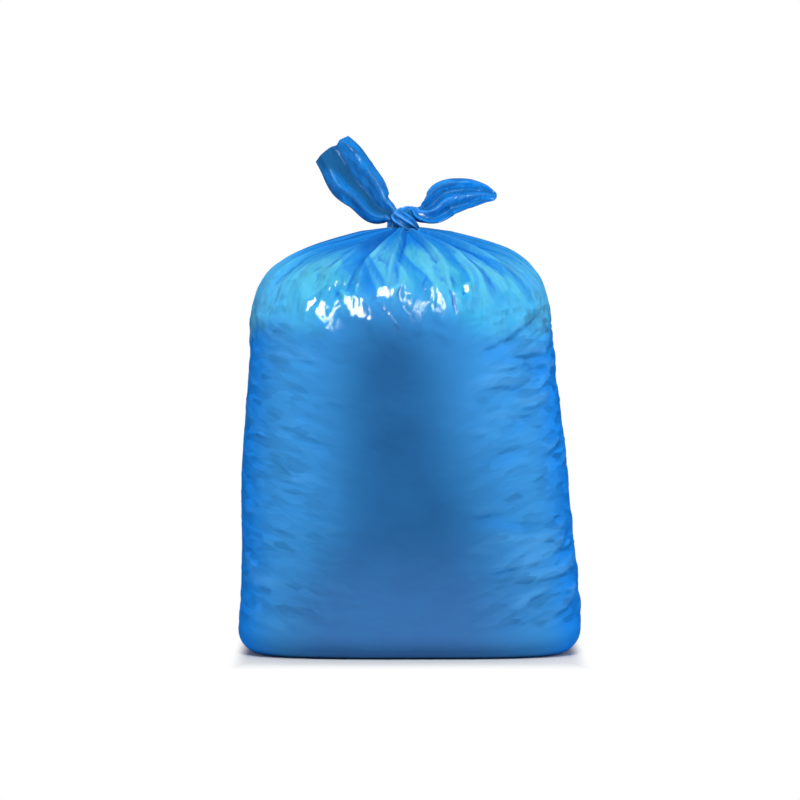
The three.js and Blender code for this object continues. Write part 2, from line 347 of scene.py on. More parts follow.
# Darker film, in layers and random streaks, and painted shade in the hollows of folds
VALLEY_AND_SHADE_BLUE = (0.006, 0.15, 0.54, 1)
# Seams of overlapped and bunched film, and painted shade in the deepest hollows of folds
SEAM_AND_HOLLOW_SHADE_BLUE = (0.003, 0.08, 0.34, 1)
# Painted light on the dome's outer sides
DOME_SIDE_LIGHT_BLUE = (0.07, 0.46, 0.88, 1)
EAR_BLUE = (0.003, 0.165, 0.6, 1)
# Darker film of the strands, in layers and random streaks, and painted shade in the hollows of their folds
EAR_VALLEY_AND_SHADE = (0.01, 0.08, 0.2, 1)
EAR_LIGHT = (0.008, 0.27, 0.76, 1)
# Painted highlight on the crests of the strands' folds
EAR_CREST_HIGHLIGHT = (0.1, 0.42, 0.86, 1)
# Painted shade under the knot
UNDER_KNOT_SHADE = (0.005, 0.035, 0.1, 1)

# Tints laid over each other: what each follows, where it starts and where it is full, share and colour
CORE_TINTS = [("up", 0.02, 0.22, 1, CORE_SHADE_BLUE)]
WALL_TINTS = [
    # Painted deeper shade on the sides
    ("side", 0, 1, 0.85, SIDE_SHADE_BLUE),
    # Painted highlight on wrinkle crests and painted shade in their hollows
    ("wrinkle", 0.1, 2, 0.4, CREST_HIGHLIGHT_BLUE),
    ("wrinkle", -0.1, -2, 0.2, SIDE_SHADE_BLUE),
]
DOME_TINTS = [
    ("up", 0.52, 0.46, 1, SHOULDER_AND_SIDE_LIGHT_BLUE),
    ("strips", 0.56, 0.6, 0.25, RIDGE_AND_HIGHLIGHT_BLUE),
    ("strips", 0.44, 0.4, 0.25, VALLEY_AND_SHADE_BLUE),
    ("single", 0, 1, 0.6, RIDGE_AND_HIGHLIGHT_BLUE),
    ("streaks", 0.52, 0.6, 0.35, RIDGE_AND_HIGHLIGHT_BLUE),
    ("streaks", 0.46, 0.42, 0.35, VALLEY_AND_SHADE_BLUE),
    # Painted highlight on fold crests and painted shade in their hollows
    ("fold", 0.1, 1.5, 0.6, RIDGE_AND_HIGHLIGHT_BLUE),
    ("fold", -0.1, -1.5, 0.7, VALLEY_AND_SHADE_BLUE),
    ("layer", 0, 1, 0.85, VALLEY_AND_SHADE_BLUE),
    # Painted light on the dimly lit sides near the shoulder and on the dome's outer sides
    ("slack", 0, 0.6, 0.7, SHOULDER_AND_SIDE_LIGHT_BLUE),
    ("aside", 0.13, 0.2, 0.6, DOME_SIDE_LIGHT_BLUE),
    # Painted shade in the deepest hollows of folds, then the seams of overlapped and bunched film
    ("fold", -0.8, -2.5, 0.8, SEAM_AND_HOLLOW_SHADE_BLUE),
    ("seam", 0.25, 0.8, 0.9, SEAM_AND_HOLLOW_SHADE_BLUE),
]
BODY_TINTS = [("shade", 0, 1, 0.5, SHADE_BLUE)]
EAR_TINTS = [
    ("strips", 0.5, 0.62, 0.4, EAR_LIGHT),
    ("strips", 0.48, 0.38, 0.3, EAR_VALLEY_AND_SHADE),
    ("streaks", 0.5, 0.62, 0.3, EAR_LIGHT),
    ("streaks", 0.5, 0.38, 0.3, EAR_VALLEY_AND_SHADE),
]
LAYER_TINTS = [("layer", 0, 1, 0.9, EAR_VALLEY_AND_SHADE)]

# Painted shade in the hollows and painted highlights on the crests of the strands' folds: start, full,
# share, what is left of it outside the knot, and colour; then the limits of the painted shade under the
# knot, in metres, and its shares there
FOLD_SHADE_AND_HIGHLIGHT_TINTS = [(0.2, -1.2, 0.7, 0.45, EAR_VALLEY_AND_SHADE), (0.4, 1.6, 0.6, 0.25, EAR_CREST_HIGHLIGHT)]
UNDERSIDE_SHADE = (0.585, 0.573, 0, 0.75)

# How unevenly the filling is seen through the film: scale and detail of blotches, and their limits
BLOTCHES = (11, 4)
CORE_BLOTCHES = (0.3, 0.6, 0.9, 1)
EMPTY_BLOTCHES = 1.6
EMPTY_EDGE = (0.5, 1.4)

# Patterns finer than the mesh: how many to a metre along each axis, then how many across, through and
# along the folds, and the scale and detail of the streaks along them
PLACE_PATTERNS = {"polygons": (42, 42, 42), "specks": (230, 230, 230), "hatch": (200, 200, 50)}
FOLD_PATTERNS = {"strips": (4, 4, 8), "threads": (9, 4, 22)}
STREAKS = (6, 2)

# Crinkles of the wall: how many to a metre, slope up to the sides, detail, smoothness, strength on tight
# and on slack film, and height in metres
CRINKLES = (38, 38, 120)
SAG = 0.3
CRINKLE_DETAIL = 2
CRINKLE_SMOOTHNESS = 0.3
CRINKLE_STRENGTH = (0.06, 0.5)
CRINKLE_HEIGHT = 0.003

# How far pieces of the film lean, under its gloss and in it: pattern, what they follow, least and most
FILM_LEANS = [
    ("polygons", "crumpled", 0, 0.4),
    ("strips", "loose", 0, 0.25),
    ("strips", "loose_ear", 0, 0.25),
    ("hatch", "loose", 0, 0.25),
    ("hatch", "bare", 0, 0.1),
    ("crinkled", "slack", 0.06, 0.68),
]
GLOSS_LEANS = [
    ("polygons", "crumpled", 0, 0.12),
    ("hatch", "loose", 0, 0.13),
    ("hatch", "bare", 0, 0.06),
    ("specks", "loose_ear", 0, 0.2),
    ("threads", "packed", 0, 0.4),
]

# Roughness of the filled and of the bare film, and its gloss, which is lower at a slant
FILM_ROUGHNESS = (0.55, 0.35)
GLOSS_AT_SLANT = (0.35, 0.85, 0.6, 0.05)
COAT_IOR = 1.3
COAT_ROUGHNESS = 0.08

# Floor, and where its shadow starts to fade and ends, to the sides and to the front, in metres
FLOOR_HALF = 20
FLOOR_GREY = (0.66, 0.66, 0.66, 1)
FLOOR_ROUGHNESS = 0.9
SHADOW_SIDE = (0.215, 0.24)
SHADOW_FRONT = (0.21, 0.347)

# Camera, in metres
CAMERA_AWAY = 8.0
CAMERA_TILT = math.radians(2)
FRAME_WIDTH = 1.088
FRAME_MIDDLE = Vector((-0.0129, 0, 0.3406))

# Lamps: name, place, size, power, whether each lights the film and whether the film mirrors it
LAMP_TARGET = Vector((0, 0, 0.35))
LAMPS = [
    ("left_softbox", (-1.8, -1.1, 0.85), 1.6, 8, True, True),
    ("right_softbox", (1.8, -1.1, 0.85), 1.6, 15, True, True),
    ("key_softbox", (0, -1.7, 1.8), 0.5, 40, True, False),
    ("top_softbox", (0, 0.5, 3.4), 1.2, 35, True, False),
    ("window", (-0.55, -1.7, 1.25), 0.6, 110, False, True),
]
WORLD_LIGHT = 0.22

rng = np.random.default_rng(7)


def fade(low, high, value):
    """The smooth way of a value from low, 0, to high, 1"""
    share = np.clip((value - low) / (high - low), 0, 1)
    return share * share * (3 - 2 * share)


def between(value, start, full, last, end):
    """1 from full to last, fading to 0 at the start and at the end"""
    return fade(start, full, value) * fade(end, last, value)


def at_least(low, share):
    """A share from 0 to 1, lifted to start from a least value"""
    return low + (1 - low) * share


def unit(vectors):
    return vectors / np.maximum(np.linalg.norm(vectors, axis=-1, keepdims=True), 1e-9)


def norms(vectors):
    return np.linalg.norm(vectors, axis=-1)


def scatter(index, start):
    """A scattered value from 0 to 1 for each index, as in the solid"""
    return (start + index * GOLDEN_STEP) % 1


# Curves


def bezier(points, t):
    a, b, c, d = (np.asarray(p, float) for p in points)
    t = t[:, None]
    return a * (1 - t) ** 3 + 3 * b * t * (1 - t) ** 2 + 3 * c * t * t * (1 - t) + d * t ** 3


def four_points(ends, t):
    """The four points round each share along a curve, and its way between the middle two"""
    last = len(ends) - 3
    place = np.clip(t * last, 0, last - 1e-9)
    i = place.astype(int)
    return *(ends[i + k] for k in range(4)), (place - i)[:, None]


def spline(points, t):
    """Uniform Catmull-Rom curve through the points"""
    points = np.asarray(points, float)
    p0, p1, p2, p3, w = four_points(np.concatenate([points[:1], points, points[-1:]]), t)
    v0 = (p2 - p0) / 2
    v1 = (p3 - p1) / 2
    return (2 * p1 - 2 * p2 + v0 + v1) * w ** 3 + (-3 * p1 + 3 * p2 - 2 * v0 - v1) * w ** 2 + v0 * w + p1


def centripetal(points, t):
    """Centripetal Catmull-Rom curve through the points"""
    points = np.asarray(points, float)
    ends = np.concatenate([[2 * points[0] - points[1]], points, [2 * points[-1] - points[-2]]])
    p0, p1, p2, p3, w = four_points(ends, t)
    pairs = ((p0, p1), (p1, p2), (p2, p3))
    d0, d1, d2 = (np.sqrt(norms(b - a))[:, None] for a, b in pairs)
    d1 = np.where(d1 < 1e-4, 1, d1)
    d0 = np.where(d0 < 1e-4, d1, d0)
    d2 = np.where(d2 < 1e-4, d1, d2)
    v1 = ((p1 - p0) / d0 - (p2 - p0) / (d0 + d1) + (p2 - p1) / d1) * d1
    v2 = ((p2 - p1) / d1 - (p3 - p1) / (d1 + d2) + (p3 - p2) / d2) * d1
    return p1 + v1 * w + (3 * (p2 - p1) - 2 * v1 - v2) * w ** 2 + (2 * (p1 - p2) + v1 + v2) * w ** 3


def even_steps(curve, count):
    """Shares along a curve that divide its length evenly"""
    t = np.linspace(0, 1, 400)
    run = np.concatenate([[0], np.cumsum(norms(np.diff(curve(t), axis=0)))])
    return np.interp(np.linspace(0, run[-1], count + 1), run, t)


# Film


def grid_normals(points):
    """Normals of a grid of rows that closes round its columns"""
    around = np.roll(points, -1, 1) - np.roll(points, 1, 1)
    up = np.gradient(points, axis=0)
    return unit(np.cross(around, up))


def pull(first, second, rest, share):
    """Move two sets of points towards their rest lengths"""
    gap = second - first
    length = np.sqrt((gap * gap).sum(-1)) + 1e-6
    move = gap * (share * 0.5 * (length - rest) / length)[..., None]
    first += move
    second -= move


def bending(grid):
    """How far the neighbours of each point lie off it, added up"""
    total = np.roll(grid, 1, 1) + np.roll(grid, -1, 1) - 2 * grid
    total[1:-1] += grid[2:] + grid[:-2] - 2 * grid[1:-1]
    return total


def relax(points, base, normal, slack_around, slack_up, low, high, steps, bend, shear, free_end):
    """Keep the film's own lengths, between two limits off the base form"""
    slack_lean = 1 + (slack_around + slack_up)[1:] / 2
    after = np.roll(base, -1, 1)
    around = norms(after - base) * (1 + slack_around)
    up = norms(base[1:] - base[:-1]) * (1 + slack_up[1:])
    lean_a = norms(after[1:] - base[:-1]) * slack_lean
    lean_b = norms(base[1:] - after[:-1]) * slack_lean
    for _ in range(steps):
        points[1:-1] -= bend * bending(bending(points - base))[1:-1]
        for start in (0, 1):
            pull(points[:, 0::2], points[:, 1::2], around[:, start::2], 1)
            points = np.roll(points, 2 * start - 1, 1)
        for start in (0, 1):
            stop = start + (len(points) - start) // 2 * 2
            a = points[start:stop:2]
            b = points[start + 1:stop:2]
            pull(a, b, up[start:stop:2], 1)
            turned = np.roll(b, -1, 1)
            pull(a, turned, lean_a[start:stop:2], shear)
            b[:] = np.roll(turned, 1, 1)
            turned = np.roll(a, -1, 1)
            pull(turned, b, lean_b[start:stop:2], shear)
            a[:] = np.roll(turned, 1, 1)
        out = (normal * (points - base)).sum(2)
        points += normal * (np.clip(out, low, high) - out)[..., None]
        points[0] = base[0]
        if not free_end:
            points[-1] = base[-1]
    return points


def finer(coarse):
    """Spread a grid of vectors over one that has twice its steps"""
    rows, columns, _ = coarse.shape
    wide = np.empty((rows, 2 * columns, 3), coarse.dtype)
    wide[:, 0::2] = coarse
    wide[:, 1::2] = (coarse + np.roll(coarse, -1, 1)) / 2
    tall = np.empty((2 * rows - 1, 2 * columns, 3), coarse.dtype)
    tall[0::2] = wide
    tall[1::2] = (wide[1:] + wide[:-1]) / 2
    return tall


def settle(base, levels, low, high, steps=300, shear=0.15, noise=0.25, free_end=False):
    """Relax a film on grids that are each twice as fine as the last

    Each level holds its stiffness, the slack round, the slack up and a lift.
    """
    base = base.astype(np.float32)
    off = None
    for level, (bend, slack_around, slack_up, lift) in enumerate(levels):
        stride = 2 ** (len(levels) - 1 - level)
        part = base[::stride, ::stride]
        normal = grid_normals(part)
        fields = [slack_around, slack_up, low, high, lift]
        fields = [np.broadcast_to(f, base.shape[:2])[::stride, ::stride].astype(np.float32) for f in fields]
        start = rng.normal(0, noise * stride, part.shape[:2]).astype(np.float32) + fields.pop()
        off = normal * start[..., None] if off is None else finer(off) + normal * start[..., None]
        off = relax(part + off, part, normal, *fields, steps, bend, shear, free_end) - part
    return base + off


def ridges(points, reach):
    """How far each point of a film stands out from the mean of its row within a reach on both sides"""
    normal = grid_normals(points)
    columns = points.shape[1]
    spacing = norms(np.roll(points, -1, 1) - points).mean(1)
    out = np.empty(points.shape[:2])
    for i, row in enumerate(points):
        half = int(np.clip(round(reach / spacing[i]), 1, columns // 10))
        wrapped = np.concatenate([row[-half - 1:], row, row[:half]])
        total = np.cumsum(wrapped, axis=0)
        mean = (total[2 * half + 1:] - total[:-2 * half - 1]) / (2 * half + 1)
        out[i] = ((row - mean) * normal[i]).sum(1)
    return out


def marks_of(film, sweep, **given):
    """Marks of a film: those that are given, nothing for the rest, and the way its streaks run"""
    marks = {key: given.get(key, 0) + np.zeros(film.shape[:2]) for key in MARKS}
    marks["sweep"] = np.stack([axis + np.zeros(film.shape[:2]) for axis in sweep], 2)
    return marks


# Body

MEAN_ROOF = [(190, WALL_TOP), (180, DOME_HEIGHTS[0]), (120, DOME_HEIGHTS[1]), (NECK_RADIUS, NECK_HEIGHT)]
DOME_T = even_steps(lambda t: bezier(MEAN_ROOF, t), DOME_ROWS)
WALL_T = even_steps(lambda t: spline([(0, z) for z in WALL_HEIGHTS], t), WALL_ROWS)


def meridian(outline):
    """One outline of the body as (reach, height) rows from the base's edge to the neck"""
    half, wall, dome, off = OUTLINES[outline]
    turn = np.linspace(-math.pi / 2, 0, CORNER_ROWS + 1)
    corner = np.stack([half - BASE_ROUNDING + BASE_ROUNDING * np.cos(turn),
                       BASE_ROUNDING + BASE_ROUNDING * np.sin(turn)], axis=1)
    stations = [(share * half, z) for share, z in zip(wall, WALL_HEIGHTS)]
    side = spline(stations, WALL_T)
    handles = [(wall[-1] * half, WALL_TOP), (dome[0] * half, DOME_HEIGHTS[0]),
               (dome[1] * half, DOME_HEIGHTS[1]), (NECK_RADIUS + off, NECK_HEIGHT)]
    return np.concatenate([corner, side[1:], bezier(handles, DOME_T)[1:]])


def body_form():
    """The body with no folds: points, and each one's angle, way along the dome (0 at the neck) and reach"""
    left, right, front, back = (meridian(name) for name in OUTLINES)
    angle = np.arange(AROUND_BODY)[None] / AROUND_BODY * 2 * math.pi
    cos = np.cos(angle)
    sin = np.sin(angle)
    # Which of the solid's steps each row lies at
    corner = np.linspace(0, SOLID_CORNER_STEPS, CORNER_ROWS + 1)
    wall = SOLID_CORNER_STEPS + SOLID_WALL_STEPS * WALL_T[1:]
    dome = SOLID_CORNER_STEPS + SOLID_WALL_STEPS + SOLID_DOME_STEPS * DOME_T[1:]
    step = np.concatenate([corner, wall, dome])[:, None]
    along = (step[-1] - step) / SOLID_DOME_STEPS
    middle_x = (right - left)[:, :1] / 2
    middle_y = (back - front)[:, :1] / 2
    half_x = (right + left)[:, :1] / 2
    half_y = (back + front)[:, :1] / 2
    power = BASE_SQUARENESS + (NECK_SQUARENESS - BASE_SQUARENESS) * (step / step[-1]) ** 2
    reach = (np.abs(cos / half_x) ** power + np.abs(sin / half_y) ** power) ** (-1 / power)
    side = np.where(cos > 0, right[:, 1:], left[:, 1:])
    face = np.where(sin > 0, back[:, 1:], front[:, 1:])
    height = side * cos ** 2 + face * sin ** 2
    points = np.stack([middle_x + reach * cos, middle_y + reach * sin, height], axis=2)
    waves = sum(np.sin(count * angle + start + height / pitch) for count, start, pitch in SWELLS)
    swell = SWELL_HEIGHT / len(SWELLS) * waves * fade(0, SWELL_FADE, height) * np.clip(along, 0, 1)
    points += grid_normals(points) * swell[..., None]
    return points, angle, np.broadcast_to(along, reach.shape), reach


def turn_from(angle, centre):
    """The turn from a centre to an angle, from minus half to half a circle"""
    return (angle - centre + math.pi) % (2 * math.pi) - math.pi


def gather_lift(angle, along, reach):
    """How far the gathers stand out, and how far the film is laid over itself beside each"""
    lift = -GATHER_SINK * fade(0, 0.5, 1 - along)
    layer = np.zeros(reach.shape)
    half_width = GATHER_HALF_WIDTH + GATHER_FLARE * reach
    for i in range(GATHER_COUNT):
        centre = (i + GATHER_UNEVENNESS * scatter(i, 0.2)) / GATHER_COUNT * 2 * math.pi
        length = SHORTEST_GATHER + (LONGEST_GATHER - SHORTEST_GATHER) * scatter(i, 0.55)
        tall = GATHER_HEIGHT * at_least(LOWEST_GATHER, scatter(i, 0.85))
        lean = -GATHER_LEAN if scatter(i, 0.1) < 0.5 else GATHER_LEAN
        turn = turn_from(angle, centre)
        away = np.minimum(1, np.abs(turn) * reach / (half_width * (1 + lean * np.sign(turn))))
        run = np.minimum(1, along / length)
        lift += tall * (1 - away) ** 1.3 * (1 - run ** 2) ** 1.5
        over = -turn * reach * np.sign(lean) / half_width
        flap = between(over, *GATHER_FLAP) * fade(1, 0.7, run)
        layer = np.maximum(layer, flap * at_least(FAINTEST_FLAP, scatter(i, 0.45)))
    return lift * np.minimum(1, reach / GATHER_FULL_RADIUS), layer


def pleat_lift(angle, along, reach):
    """How far the pleats stand out, how far film is laid over itself beside each, and the bare crests"""
    lift, layer, crest = np.zeros((3, *reach.shape))
    spacing = 2 * math.pi / PLEAT_COUNT
    for i in range(PLEAT_COUNT):
        centre = (i + PLEAT_UNEVENNESS * scatter(i, 0.3)) * spacing
        length = at_least(SHORTEST_PLEAT, scatter(i, 0.7))
        fanned = np.exp(-(turn_from(centre, PLEAT_FAN) / PLEAT_FAN_WIDTH) ** 2)
        tall = PLEAT_HEIGHT * at_least(LOWEST_PLEAT, scatter(i, 0.15))
        tall = tall * at_least(HEIGHT_OUTSIDE_FAN, fanned)
        turn = turn_from(angle, centre) / (PLEAT_HALF_WIDTH * spacing)
        away = np.minimum(1, np.abs(turn))
        run = np.minimum(1, along / length)
        lift += tall * (1 - away) * (1 - run ** 2)
        shown = at_least(SHOWN_OUTSIDE_FAN, fanned) * at_least(FAINTEST_PLEAT, scatter(i, 0.6))
        shown = shown * fade(1, 0.6, run)
        layer = np.maximum(layer, shown * between(turn, *PLEAT_FLAP))
        crest = np.maximum(crest, shown * between(turn, *PLEAT_CREST))
    return lift * np.minimum(1, reach / GATHER_FULL_RADIUS), layer, crest


def corner_value(column, row):
    """A scattered value from -1 to 1 for each corner of a grid, as in the solid"""
    wave = np.sin(column * 12.9898 + row * 78.233) * 43758.5453
    return 2 * (wave - np.floor(wave)) - 1


def facets(angle, run, count, height):
    """Two flat triangles to each cell of an uneven grid, as in the solid, from -1 to 1"""
    turn = angle / (2 * math.pi) * count + 0.3 * np.sin(run / height + 3 * angle)
    rise = run / height + 0.3 * np.sin(4 * angle)
    column = np.floor(turn)
    row = np.floor(rise)
    s = turn - column
    t = rise - row

    def corner(i, j):
        return corner_value((column + i) % count, row + j)

    lower = corner(0, 0) * (1 - s - t) + corner(1, 0) * s + corner(0, 1) * t
    upper = corner(1, 1) * (s + t - 1) + corner(0, 1) * (1 - s) + corner(1, 0) * (1 - t)
    return np.where(s + t < 1, lower, upper)


def wrinkle_lift(angle, height):
    """Folds that stand out or are sunk, each of its own length, width, height, slope and curve"""
    lift = np.zeros(height.shape)
    for count, lengths, half_widths, talls in WRINKLES:
        limits = [(0, 2 * math.pi), (0, WRINKLE_TOP), lengths, half_widths, talls, WRINKLE_SAG,
                  (-WRINKLE_CURVE, WRINKLE_CURVE), (-WRINKLE_SUNK, 1 - WRINKLE_SUNK)]
        low, high = np.transpose(limits)
        drawn = rng.uniform(low, high, (count, len(limits)))
        for turn, level, length, half, tall, sag, curve, sign in drawn:
            along = turn_from(angle, turn) * WRINKLE_RADIUS
            slope = -math.copysign(sag, math.sin(2 * turn) * sag)
            off = np.abs(height - level - slope * along - curve * along ** 2 / length) / half
            end = 1 - np.minimum(1, np.abs(along) / length) ** 2
            lift += math.copysign(tall, sign) * fade(1, 0, off) * end
    return WRINKLE_LIMIT * np.tanh(lift / WRINKLE_LIMIT)


def flatten(points, normal, angle, run, reach):
    """Film pressed onto its flat pieces, how far each point lies on one and how tight the film is there"""
    flat, tight = np.zeros((2, *run.shape))
    for turn, level, half_width, half_height, rise, lean, drawn in FLAT_PIECES:
        across = turn_from(angle, math.radians(turn)) * reach
        over = run - level
        aside = np.abs(across - lean * over) / half_width
        above = np.abs(over - rise * across) / half_height
        share = fade(*FLAT_EDGE, np.maximum(aside, above))
        middle = (points * share[..., None]).sum((0, 1)) / share.sum()
        gap = (middle - points) @ FLAT_FACE / np.maximum(LEAST_FACING, normal @ FLAT_FACE)
        points = points + normal * (share * np.clip(gap, -FLAT_LIMIT, FLAT_LIMIT))[..., None]
        flat = np.maximum(flat, share)
        tight = np.maximum(tight, drawn * share)
    return points, flat, tight


def dome_panels(angle, along):
    """Shares of extra layers and of single film, in panels with straight sides"""
    extra, single = np.zeros((2, *along.shape))
    for neck, shoulder, neck_half, shoulder_half, start, end, share in DOME_PANELS:
        centre = np.radians(neck + (shoulder - neck) * along)
        half = np.radians(neck_half + (shoulder_half - neck_half) * along)
        turn = turn_from(angle, centre) / half
        # An edge is at least a column of the mesh wide
        edge = np.maximum(PANEL_EDGE, 2 * math.pi / AROUND_BODY / half)
        shape = fade(1 + edge, 1 - edge, np.abs(turn))
        place = along + PANEL_SLANT * np.clip(turn, -1, 1)
        shape = shape * fade(start - PANEL_END, start + PANEL_END, place)
        shape = shape * fade(end + PANEL_END, end - PANEL_END, place)
        darker = at_least(PANEL_FAINT_SIDE, np.clip((turn + 1) / 2, 0, 1) ** 2)
        extra = np.maximum(extra, -share * shape * darker)
        single = np.maximum(single, share * shape)
    return extra, single


def dulled(layer):
    """The gloss that is left where the film lies in layers"""
    return 1 - LAYER_DULLING * fade(*LAYER_EDGE, layer)


def make_body():
    """The settled film of the body, and its marks"""
    points, angle, along, reach = body_form()
    height = points[..., 2]
    across = points[..., 0]
    sideways = np.abs(np.cos(angle))
    run = np.concatenate([[0], np.cumsum(norms(np.diff(meridian("front"), axis=0)))])[:, None]
    run = run - run[CORNER_ROWS + WALL_ROWS] + 0 * reach
    roof = fade(*ROOF_START, run)
    crumpled = between(run, *FACET_BAND) * at_least(SIDE_CRUMPLING, np.sin(angle) ** 2)
    slack = FRONT_SLACK + (SIDE_SLACK + RIGHT_SLACK * np.cos(angle)) * fade(*SLACK_TURN, sideways)
    slump = slack * fade(*SLUMP_FOOT, height) * fade(*SLUMP_TOP, run)

    gathers, gather_layer = gather_lift(angle, along, reach)
    pleats, overlap, crest = pleat_lift(angle, along, reach)
    wrinkles = slump * wrinkle_lift(angle, height)
    overhang = np.gradient(wrinkles, axis=0) / np.maximum(np.gradient(height, axis=0), 1)
    lift = gathers + pleats
    lift = lift + crumpled * sum(depth * facets(angle, run, count, tall) for count, tall, depth in FACETS)
    lift = lift + wrinkles
    normal = grid_normals(points)
    folded, flat, tight = flatten(points + normal * lift[..., None], normal, angle, run, reach)

    shoulder = between(run, *SHOULDER_BAND) * (1 - flat)
    levels = [
        (bend, round_shoulder * shoulder + round_roof * roof, up_shoulder * shoulder, 0)
        for bend, round_shoulder, round_roof, up_shoulder in BODY_LEVELS
    ]
    room = np.minimum(1, NECK_ROOM + reach / GATHER_FULL_RADIUS)
    high = (WALL_FOLD + (DOME_FOLD - WALL_FOLD) * roof) * room
    film = settle(folded, levels, -SUNK_FOLD * high, high)

    extra, single = dome_panels(angle, along)
    layer = np.maximum(GATHER_LAYER * gather_layer, extra)
    layer = 1 - (1 - layer) * (1 - overlap)
    neck_end = NECK_LAYER_FRONT + NECK_LAYER_SIDES * np.cos(angle) ** 2
    layer = np.maximum(layer * (1 - flat), NECK_LAYER * fade(neck_end, NECK_LAYER_FULL, along))
    single = np.maximum(single, PLEAT_SINGLE * crest)
    bunched = np.exp(-(turn_from(angle, BUNCH_TURN) / BUNCH_WIDTH) ** 2) * fade(*BUNCH_FADE, along)
    # The core, darker in the middle of the front: partly the filling seen through the film, partly painted
    # shade
    front = 1
    for edge, moved, heights, blur in CORE_EDGES:
        front = front * fade(-blur, blur, across - edge - moved * fade(*heights, height))
    top = CORE_TOP - CORE_ARCH * ((across - CORE_MIDDLE) / CORE_HALF) ** 2
    top = np.maximum(top, CORE_LOWEST_TOP)
    marks = marks_of(
        film, (np.cos(angle), np.sin(angle), BODY_STREAKS * along),
        fold=ridges(film, BODY_FOLD_REACH),
        layer=layer,
        single=single * fade(*SINGLE_START, along),
        seam=np.maximum(overlap * fade(*SEAM_FADE, along), BUNCH_SEAM * bunched),
        empty=(height - EMPTY_START - EMPTY_RISE * front) / EMPTY_BLUR,
        core=front * fade(CORE_BLUR, -CORE_BLUR, height - top),
        slack=slump,
        # The wrinkles' heights, for painted highlights on their crests and painted shade in their hollows
        # and under them
        wrinkle=wrinkles,
        shade=fade(*OVERHANG, overhang),
        crumpled=crumpled * (1 - flat),
        # Where painted deeper shade goes on the sides, where the film is seen edge-on
        side=fade(*SIDE_TURN, sideways) * fade(*SIDE_TOP, height),
        flat=flat,
        tight=tight,
        gloss=dulled(layer),
    )
    return film, marks


def body_piece():
    """The body's mesh: every second column of the wall, all columns of the dome, a fan over each end"""
    film, marks = make_body()
    rows, columns, _ = film.shape
    split = CORNER_ROWS + WALL_ROWS
    wall = np.arange(split * columns).reshape(split, columns)[:, ::2]
    dome = np.arange(split * columns, rows * columns).reshape(rows - split, columns)
    bottom = rows * columns
    faces = [*quads(wall), *quads(dome), *fan(wall[0], bottom, True), *fan(dome[-1], bottom + 1, False)]
    upper = dome[0]
    for j, (a, b) in enumerate(zip(wall[-1], np.roll(wall[-1], -1))):
        faces.append([a, b, upper[(2 * j + 2) % columns], upper[2 * j + 1], upper[2 * j]])
    return mesh_object("bag_film", film, faces, marks)


# Strands


def crease(turns):
    """A wave whose crests and hollows are tighter than a cosine's"""
    return np.arcsin(0.93 * np.cos(math.pi * turns)) / math.asin(0.93)


